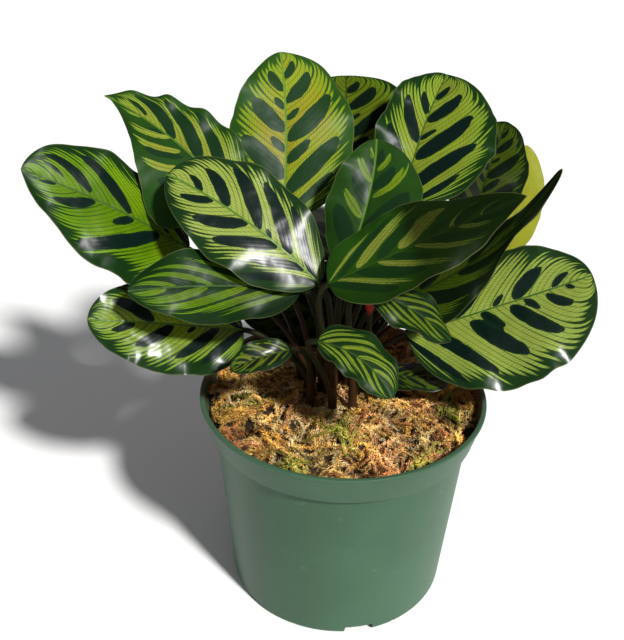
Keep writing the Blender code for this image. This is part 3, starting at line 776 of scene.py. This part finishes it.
def blade(design):
    """Rings of points round the blade from base to tip, and their attributes."""
    look = LOOKS.get(design.name, Look())
    deep = np.broadcast_to(look.deep, 3)
    gloss = np.broadcast_to(look.gloss, 2)
    sweep = np.broadcast_to(look.sweep, 2)
    spots = SPOTS.get(design.name, USUAL_SPOTS)
    bands = BANDS.get(design.name, (None, None))
    shares = 0.5 - 0.5 * np.cos(np.pi * (np.arange(BLADE_SECTIONS) + 0.55) / BLADE_SECTIONS)
    points, _, left, upper = midrib(design, shares)
    turns = 2 * np.pi * shares
    swell = np.sqrt(np.sin(np.pi * shares))
    step = np.clip((shares - SHADE_STEP[0]) / (SHADE_STEP[1] - SHADE_STEP[0]), 0.0, 1.0)
    step = step * step * (3 - 2 * step)
    steps = np.linspace(-1.0, 1.0, 2 * HALF_STRIPS + 1)
    strips = []
    for place in np.sign(steps) * np.abs(steps) ** STRIP_POWER:
        # Where this strip lies: out from the midrib, across the fold and the curl, with its waves
        side = 0 if place > 0 else 1
        sign = np.sign(place)
        out = abs(place)
        ripple = np.sin(turns * RIPPLE_COUNTS[side] + design.length)
        finer = np.sin(turns * FINE_RIPPLES * RIPPLE_COUNTS[1 - side] + design.base[2])
        ripple = (ripple + 0.5 * finer) * swell
        width = half_width(design, side, shares) * (1 + RIPPLE_SHARE * ripple * out ** 3)
        fold = math.radians(design.fold[side])
        curl = math.radians(design.curl[side])
        angle = fold + curl * out
        sideways = sign * width * (math.sin(angle) - math.sin(fold)) / curl
        rise = width * (math.cos(fold) - math.cos(angle)) / curl
        count, start = design.right if side else design.left
        wave = np.sin(turns * count + 2 * np.pi * start) * swell
        rise = rise + design.wave * out ** WAVE_POWER * wave
        rise = rise + RIPPLE_HEIGHT * design.length * out ** 3 * np.roll(ripple, 4)
        normal = upper * math.cos(angle * sign) - left * math.sin(angle * sign)
        middle = points + left * sideways[:, None] + upper * rise[:, None]
        apart = out * width
        rib = np.exp(-(apart / RIB_WIDTH) ** 2) * (1 - shares)
        half = MARGIN_HALF + (BLADE_HALF - MARGIN_HALF) * (1 - out ** 6)

        # What the pattern needs to know along it
        swept = sweep[side] * out ** VEIN_CURVE
        start = (shares - swept) / (1 - VEIN_EASE * swept)
        band = np.full_like(shares, FAR)
        if bands[side]:
            band = mark_field(design, bands[side], start, out)
        # Painted shade: one amount for each side of the base, and another for the rest of the blade
        at_base = between(deep[1::-1], (1 + place) / 2)
        strips.append((
            middle + normal * (half - GROOVE_DEPTH * rib)[:, None],
            middle - normal * (half + RIB_DEPTH * rib)[:, None],
            start * design.length / VEIN_SPACING + 40 * side,
            (1 - out) * width / (design.width / 2),
            apart,
            mark_field(design, spots[side], start, out),
            band,
            between((at_base, deep[2]), step),
            between(gloss, shares)))
    top, under, *traced = [np.stack(values, axis=1) for values in zip(*strips)]
    rings = np.hstack([top, under[:, ::-1]])
    fields = {key: np.hstack([found, found[:, ::-1]]) for key, found in zip(TRACED, traced)}
    for key in PAINTED:
        fields[key] = np.full(rings.shape[:2], getattr(look, key))
    return rings, fields


def petiole(design):
    """Rings of points round the petiole, from its foot in the mix to the blade."""
    radius, angle = design.foot
    turn = math.radians(angle)
    foot = np.array((CROWN[0] + radius * math.cos(turn), CROWN[1] + radius * math.sin(turn),
                     STRAIGHT_TOP))
    end, direction, side, _ = [found[0] for found in midrib(design, np.zeros(1))]
    reach = np.linalg.norm(end - foot)
    above = foot + np.array((0.0, 0.0, 1.0)) * reach * STEM_LIFT
    before = end - direction * min(PULVINUS, reach * PULVINUS_SHARE)
    t = np.linspace(0.0, 1.0, PETIOLE_SECTIONS)[:, None]
    path = (1 - t) ** 3 * foot + 3 * (1 - t) ** 2 * t * above
    path = path + 3 * (1 - t) * t ** 2 * before + t ** 3 * end
    path = np.vstack([[foot[0], foot[1], FOOT_HEIGHT], path])
    tangents = np.gradient(path, axis=0)
    tangents[-1] = direction
    tangents[0] = tangents[1] = (0.0, 0.0, 1.0)
    count = 2 * HALF_STRIPS + 1
    turns = np.pi * (1 - (np.arange(2 * count) + 0.5) / count)
    rings = []
    for point, tangent in zip(path[::-1], unit(tangents[::-1])):
        side = unit(side - tangent * np.dot(side, tangent))
        over = np.cross(tangent, side)
        taper = np.clip((point[2] - STRAIGHT_TOP) / TAPER_LENGTH, 0.0, 1.0)
        thick = between((FOOT_RADIUS, PETIOLE_RADIUS), taper)
        rings.append(point + thick * hoops(side, over, turns))
    return np.stack(rings[::-1])


def make_leaf(design, materials):
    """One leaf: petiole and blade in one closed mesh."""
    stalk = petiole(design)
    rings, fields = blade(design)
    points = np.vstack([stalk, rings])
    sections, around = points.shape[:2]
    strips = around // 2
    values = {key: np.vstack([np.zeros(stalk.shape[:2]), found]) for key, found in fields.items()}
    values["rise"] = np.repeat(np.minimum(np.arange(sections) / (len(stalk) - 1), 1.0), around)
    index = np.arange(sections * around).reshape(sections, around)
    column = np.tile(np.arange(around), sections - 1)
    row = np.repeat(np.arange(sections - 1), around)
    # Each pair of triangles meets along the way the veins run, so that the pattern stays clean
    corners = ring_faces(index)[:, (0, 3, 2, 1)]
    turned = (column < strips // 2) | (column >= strips + strips // 2)
    first = np.where(turned[:, None], corners[:, (0, 1, 3)], corners[:, (0, 1, 2)])
    second = np.where(turned[:, None], corners[:, (1, 2, 3)], corners[:, (0, 2, 3)])
    slots = np.where(column < strips - 1, TOP, UNDERSIDE)
    slots = np.where(row < len(stalk), PETIOLE, slots)
    faces = first.tolist() + second.tolist() + [index[0].tolist(), index[-1][::-1].tolist()]
    slots = np.concatenate([slots, slots, (PETIOLE, TOP)])
    made = mesh_object(design.name + "_blade", points, faces, materials, slots, values)
    made.data.set_sharp_from_angle(angle=math.radians(LEAF_CREASE))
    return made


def make_shoot(surface):
    """A new leaf, still rolled into a spike on its stalk."""
    foot = np.array((*SHOOT_FOOT, FOOT_HEIGHT))
    above = np.array((*SHOOT_FOOT, between((FOOT_HEIGHT, SHOOT_TIP[2]), 0.6)))
    path = bend(foot, above, np.array(SHOOT_TIP), SHOOT_SECTIONS)
    shares = np.linspace(0.0, 1.0, SHOOT_SECTIONS)
    ways = unit(np.gradient(path, axis=0))
    side = unit(np.cross(ways, (0.0, 1.0, 0.0)))
    radii = np.interp(shares, *SHOOT_RADII)[:, None, None]
    points = path[:, None] + hoops(side, np.cross(ways, side), even_turns(SHOOT_SIDES)) * radii
    rise = np.repeat(shares, SHOOT_SIDES)
    faces = tube_faces(SHOOT_SECTIONS, SHOOT_SIDES)
    return mesh_object("new_shoot", points, faces, [surface], values={"rise": rise})


def inner_radius(height):
    """Radius of the pot's inside at a height."""
    collar_foot = POT_HEIGHT - COLLAR_HEIGHT
    heights = (FLOOR, collar_foot - STEP_DEPTH, collar_foot + STEP_DEPTH, POT_HEIGHT - LIP_DEPTH)
    radii = (BASE_RADIUS - WALL, BODY_TOP_RADIUS - WALL, COLLAR_FOOT_RADIUS - WALL,
             RIM_RADIUS - LIP_WIDTH)
    return np.interp(height, heights, radii)


def pot_profile():
    """Radius and height along the pot's section, from its underside up and down to its floor."""
    collar_foot = POT_HEIGHT - COLLAR_HEIGHT
    lip_foot = POT_HEIGHT - LIP_DEPTH
    inside = RIM_RADIUS - LIP_WIDTH
    # Radius, height and rounding of each corner
    corners = (
        (0.0, 0.0, 0.0),
        (BASE_RADIUS - 1.2, 0.0, 0.4),
        (BASE_RADIUS, 2.0, 0.6),
        (BODY_TOP_RADIUS, collar_foot - STEP_DEPTH, 0.7),
        (COLLAR_FOOT_RADIUS, collar_foot, 0.9),
        (RIM_RADIUS - 0.8, lip_foot - 0.6, 0.5),
        (RIM_RADIUS, lip_foot, 0.35),
        (RIM_RADIUS, POT_HEIGHT, 0.6),
        (inside + 0.3, POT_HEIGHT, 0.6),
        (inside, lip_foot, 0.6),
        (COLLAR_FOOT_RADIUS - WALL, collar_foot + STEP_DEPTH, 0.7),
        (BODY_TOP_RADIUS - WALL, collar_foot - STEP_DEPTH, 0.6),
        (BASE_RADIUS - WALL, FLOOR, 0.6),
        (0.0, FLOOR, 0.0),
    )
    places = np.array(corners)[:, :2]
    profile = []
    for number, (*_, rounding) in enumerate(corners[1:-1], 1):
        before, place, after = places[number - 1:number + 2]
        start = place + unit(before - place) * rounding
        end = place + unit(after - place) * rounding
        profile.append(bend(start, place, end, ROUNDING_POINTS))
    return np.concatenate(profile)


def wedge(width, top_width, height, depth, angle):
    """Corners of a tapered block across the foot of the pot's wall, at an angle in degrees."""
    out = towards(math.radians(angle), 0.0)
    across = np.array((-out[1], out[0], 0.0))
    corners = []
    for z, half in ((-height, width / 2), (height, top_width / 2)):
        for x, y in ((-depth, -half), (depth, -half), (depth, half), (-depth, half)):
            corners.append(out * (BASE_RADIUS + x) + across * y + np.array((0.0, 0.0, z)))
    return corners


def make_pot(surface):
    """The pot with its drain slots and the moulding nick cut out."""
    profile = pot_profile()
    height = np.repeat(profile[:, 1:], POT_SIDES, axis=1)
    points = np.dstack([*circles(profile[:, 0], POT_SIDES), height])
    pot = mesh_object("nursery_pot", points, tube_faces(len(profile), POT_SIDES), [surface])
    blocks = []
    for number in range(SLOT_COUNT):
        angle = SLOT_FIRST_ANGLE + number * 360.0 / SLOT_COUNT
        blocks.append(wedge(SLOT_WIDTH, SLOT_TOP_WIDTH, SLOT_HEIGHT, SLOT_REACH, angle))
    blocks.append(wedge(NICK_SIZE, NICK_SIZE, NICK_SIZE, NICK_REACH, NICK_ANGLE))
    faces = [np.array(tube_faces(2, 4)) + 8 * number for number in range(len(blocks))]
    cutter = mesh_object("cutter", blocks, np.concatenate(faces).tolist())
    boolean = pot.modifiers.new("slots", "BOOLEAN")
    boolean.operation = "DIFFERENCE"
    boolean.solver = "EXACT"
    boolean.object = cutter
    graph = bpy.context.evaluated_depsgraph_get()
    cut = bpy.data.meshes.new_from_object(pot.evaluated_get(graph))
    pot.modifiers.clear()
    pot.data = cut
    bpy.data.objects.remove(cutter, do_unlink=True)
    cut.shade_smooth()
    cut.set_sharp_from_angle(angle=math.radians(POT_CREASE))
    return pot


def moss_clumps():
    """Middles, heights and headings of the clumps that the moss lies in."""
    rng = np.random.default_rng(CLUMP_SEED)
    limit = inner_radius(MOSS_EDGE) - CLUMP_INSET
    turns = 2 * np.pi * (np.arange(RIM_CLUMPS) + rng.uniform(-0.2, 0.2, RIM_CLUMPS)) / RIM_CLUMPS
    places = list((limit - CLUMP_INSET) * np.stack([np.cos(turns), np.sin(turns)], axis=1))
    while len(places) < CLUMP_COUNT:
        place = rng.uniform(-limit, limit, 2)
        if np.hypot(*place) < limit:
            nearest = min(np.hypot(*(place - other)) for other in places)
            if nearest > CLUMP_SPACING * rng.uniform(0.55, 1.0):
                places.append(place)
    heights = rng.uniform(*CLUMP_RISE, CLUMP_COUNT)
    headings = rng.uniform(0.0, 2 * np.pi, CLUMP_COUNT)
    return np.array(places), heights, headings


def clump_height(x, y, clumps):
    """How far the clumps raise the moss at each place, with hollows where none is near."""
    raised = np.full(np.shape(x), CLUMP_HOLLOW)
    for (middle_x, middle_y), height in zip(clumps[0], clumps[1]):
        apart = np.hypot(x - middle_x, y - middle_y) / CLUMP_RADIUS
        raised = np.maximum(raised, between((CLUMP_HOLLOW, height), 1 - apart ** 2))
    return raised


def moss_height(x, y, clumps):
    """Top of the moss: the frame's low dome with lumps, and the clumps on it."""
    away = np.hypot(x, y) / RIM_RADIUS
    lumps = np.sin(x / 7.1 + 1.3) * np.cos(y / 5.9 - 0.4)
    lumps += 0.7 * np.sin((x + y) / 4.3) * np.cos((x - y) / 8.7 + 2.0)
    dome = MOSS_EDGE + MOSS_RISE * (1 - away * away) + MOSS_BUMP * lumps * 0.6
    return dome + clump_height(x, y, clumps)


def make_bed(surface, clumps):
    """The dark tangle under the moss strands."""
    bottom = MIX_TOP + BED_GAP
    outer = (inner_radius(MOSS_EDGE) - MOSS_GAP) * np.arange(MOSS_RINGS, 0, -1) / MOSS_RINGS
    x, y = circles([inner_radius(bottom) - MOSS_GAP, *outer], MOSS_SIDES)
    height = moss_height(x, y, clumps) - BED_DEPTH
    height[0] = bottom
    faces = tube_faces(len(x), MOSS_SIDES)
    return mesh_object("moss_bed", np.dstack([x, y, height]), faces, [surface])


def strand_paths(count, clumps, chosen, rng):
    """Curving paths of strands that lie over one another in their clumps."""
    places, _, headings = clumps
    clump = rng.permutation(np.resize(chosen, count))
    foot = places[clump] + rng.normal(0.0, CLUMP_SPREAD, (count, 2))
    length = rng.uniform(*STRAND_LENGTH, count) / (STRAND_POINTS - 1)
    heading = headings[clump] + rng.normal(0.0, STRAND_STRAY, count)
    heading = heading + np.pi * rng.integers(0, 2, count)
    climb = np.radians(rng.uniform(*STRAND_CLIMB, count))
    turn = rng.normal(0.0, STRAND_BEND, count)
    level = moss_height(*foot.T, clumps) - rng.uniform(*STRAND_SUNK, count)
    path = [np.column_stack([foot, level])]
    for _ in range(STRAND_POINTS - 1):
        path.append(path[-1] + towards(heading, climb) * length[:, None])
        heading = heading + turn + rng.normal(0.0, STRAND_WANDER, count)
        climb = climb - np.radians(rng.uniform(*STRAND_DROOP, count))
    path = np.stack(path, axis=1)

    # Kept inside the pot's wall and close to the top of the moss
    flat = np.hypot(path[..., 0], path[..., 1])
    wall = inner_radius(np.minimum(path[..., 2], POT_HEIGHT)) - WALL_GAP
    path[..., :2] *= np.minimum(1.0, wall / np.maximum(flat, 1e-6))[..., None]
    level = moss_height(path[..., 0], path[..., 1], clumps)
    path[..., 2] = np.clip(path[..., 2], level + STRAND_HOLD[0], level + STRAND_HOLD[1])
    return path


def make_strands(name, seed, surface, clumps, chosen):
    """Feathery moss strands: curved stems thickly set with small pointed leaflets."""
    count, _, colours = MOSS_KINDS[name]
    rng = np.random.default_rng(seed)
    path = strand_paths(count, clumps, chosen, rng)
    ways = unit(np.gradient(path, axis=1))

    # Stems: thin tubes that taper
    side = unit(np.cross(ways, (0.0, 0.0, 1.0)) + 1e-6)
    thick = rng.uniform(*STEM_THICKNESS, count)[:, None] * np.linspace(1.0, 0.4, STRAND_POINTS)
    around = hoops(side, np.cross(side, ways), even_turns(STEM_SIDES))
    stems = path[:, :, None] + thick[..., None, None] * around
    index = np.arange(stems[..., 0].size).reshape(stems.shape[:3])
    quads = ring_faces(index)
    stem_faces = [quads[:, (0, 1, 2)], quads[:, (0, 2, 3)], index[:, 0, ::-1], index[:, -1]]

    # Leaflets: slim closed spikes that lean forward out of the stem all round it
    share = (np.arange(LEAFLETS) + rng.uniform(0.0, 1.0, (count, LEAFLETS))) / LEAFLETS
    step = share * (STRAND_POINTS - 1)
    before = np.minimum(step.astype(int), STRAND_POINTS - 2)
    row = np.arange(count)[:, None]
    part = (step - before)[..., None]
    roots = between((path[row, before], path[row, before + 1]), part).reshape(-1, 3)
    along = ways[row, before].reshape(-1, 3)
    outward = unit(np.cross(along, rng.normal(0.0, 1.0, roots.shape)))
    spike = unit(along * rng.uniform(*LEAFLET_LEAN, len(roots))[:, None] + outward)
    small = 1.0 - 0.45 * share.reshape(-1)
    long = (rng.uniform(*LEAFLET_LENGTH, len(roots)) * small)[:, None]
    broad = (rng.uniform(*LEAFLET_BREADTH, len(roots)) * small)[:, None]
    flat_way = unit(np.cross(spike, outward + 1e-6))
    middle = roots + spike * long * 0.35
    back = roots - np.cross(spike, flat_way) * broad * 0.4
    corners = np.stack(
        [middle + flat_way * broad, middle - flat_way * broad, back, roots + spike * long], axis=1)
    first = np.arange(len(roots))[:, None] * 4 + index.size
    leaflet_faces = [first + face for face in LEAFLET_FACES]

    # Colours: each strand has its own tint and a darker stem; painted shade darkens strands low
    # down and in the hollows between clumps, and painted light brightens their high tips and the
    # clump tops
    tint = np.array([srgb(*colour)[:3] for colour in colours])
    tint = tint[rng.integers(0, len(colours), count)] * rng.uniform(*STRAND_TINT, count)[:, None]
    stem_tint = np.repeat(tint, STRAND_POINTS * STEM_SIDES, axis=0) * STEM_TINT
    leaflet_tint = np.repeat(tint, LEAFLETS, axis=0)
    leaflet_tint = leaflet_tint * rng.uniform(*LEAFLET_TINT, len(roots))[:, None]
    corner_tint = leaflet_tint[:, None] * np.array(CORNER_TINT)[:, None]
    points = np.concatenate([stems.reshape(-1, 3), corners.reshape(-1, 3)])
    x, y, height = points.T
    # Painted shade and light: darker deep in the moss and in hollows, lighter high up and on clumps
    shade = np.clip(0.78 + 0.18 * (height - moss_height(x, y, clumps) + 1.5), 0.4, 1.2)
    relief = np.clip(0.93 + 0.08 * clump_height(x, y, clumps), 0.4, 1.25)
    tints = np.concatenate([stem_tint, corner_tint.reshape(-1, 3)]) * (shade * relief)[:, None]
    faces = np.concatenate(stem_faces + leaflet_faces)
    made = mesh_object(name, points, faces.tolist(), [surface])
    layer = made.data.color_attributes.new("tint", "FLOAT_COLOR", "POINT")
    layer.data.foreach_set("color", np.insert(tints, 3, 1.0, axis=1).astype(np.float32).ravel())
    return made


def share_out(clumps, rng):
    """Give each kind of moss its own clumps, with the green ones nearer to the front."""
    order = np.argsort(clumps[0][:, 1] + rng.normal(0.0, GREEN_SCATTER, len(clumps[0])))
    green, *others = list(MOSS_KINDS)[::-1]
    start = round(MOSS_KINDS[green][1] * len(order))
    chosen = {green: order[:start]}
    rest = rng.permutation(order[start:])
    total = sum(MOSS_KINDS[kind][1] for kind in others)
    start = 0
    for kind in others:
        end = start + round(MOSS_KINDS[kind][1] / total * len(rest))
        chosen[kind] = rest[start:end]
        start = end
    return chosen


def make_camera():
    """The photograph's camera: placed, aimed and rolled."""
    data = bpy.data.cameras.new("camera")
    data.lens = CAMERA_LENS
    data.sensor_width = CAMERA_SENSOR
    data.clip_start, data.clip_end = CAMERA_RANGE
    camera = link("camera", data)
    place = Vector(CAMERA_PLACE) * MM
    camera.location = place
    camera.rotation_mode = "QUATERNION"
    level = (Vector(CAMERA_AIM) * MM - place).to_track_quat("-Z", "Y")
    camera.rotation_quaternion = level @ Quaternion((0.0, 0.0, 1.0), math.radians(CAMERA_ROLL))
    bpy.context.scene.camera = camera


def make_lights():
    """A key light from the front right, and a surround that is pale to look at and dim as light."""
    data = bpy.data.lights.new("key", "SUN")
    data.energy = KEY_STRENGTH
    data.angle = math.radians(KEY_WIDTH)
    data.color = KEY_COLOUR
    lamp = link("key", data)
    way = Vector(towards(math.radians(KEY_AZIMUTH), math.radians(KEY_ELEVATION)))
    lamp.rotation_mode = "QUATERNION"
    lamp.rotation_quaternion = (-way).to_track_quat("-Z", "Y")
    world = bpy.data.worlds.new("studio")
    bpy.context.scene.world = world
    world.use_nodes = True
    tree = world.node_tree
    background = tree.nodes["Background"]
    background.inputs["Color"].default_value = SURROUND_COLOUR
    seen = tree.nodes.new("ShaderNodeLightPath")
    strength = tree.nodes.new("ShaderNodeMapRange")
    strength.inputs["To Min"].default_value = SURROUND_STRENGTH
    strength.inputs["To Max"].default_value = SURROUND_SEEN
    tree.links.new(seen.outputs["Is Camera Ray"], strength.inputs["Value"])
    tree.links.new(strength.outputs["Result"], background.inputs["Strength"])


def make_floor():
    half = FLOOR_HALF
    corners = ((-half, -half, 0.0), (half, -half, 0.0), (half, half, 0.0), (-half, half, 0.0))
    floor = mesh_object("floor", corners, [(0, 1, 2, 3)], [floor_material()])


def main():
    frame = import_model()
    make_camera()
    make_lights()
    make_floor()

    pot = make_pot(pot_material())
    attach(pot, "root")
    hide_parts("pot")

    mix = frame["nodes"]["potting_mix"]
    for slot in mix.material_slots:
        slot.material = mix_material()

    clumps = moss_clumps()
    bed = make_bed(bed_material(), clumps)
    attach(bed, "root")
    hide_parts("moss")
    strands = strand_material()
    chosen = share_out(clumps, np.random.default_rng(CLUMP_SEED + 1))
    for seed, name in enumerate(MOSS_KINDS):
        piece = make_strands(name, seed, strands, clumps, chosen[name])
        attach(piece, "root")

    satin, matte, shaded = [leaf_top_material(name, shine) for name, shine in LEAF_SHINES.items()]
    under = leaf_under_material()
    stalk = petiole_material()
    for design in LEAVES:
        upper = shaded if design.name in SHADED else matte if design.name in MATTE else satin
        piece = make_leaf(design, [upper, under, stalk])
        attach(piece, "root")
        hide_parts(design.name)

    shoot = make_shoot(petiole_material("new shoot", red_end=True))
    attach(shoot, "root")

    bpy.context.scene.view_settings.view_transform = "Standard"


main()
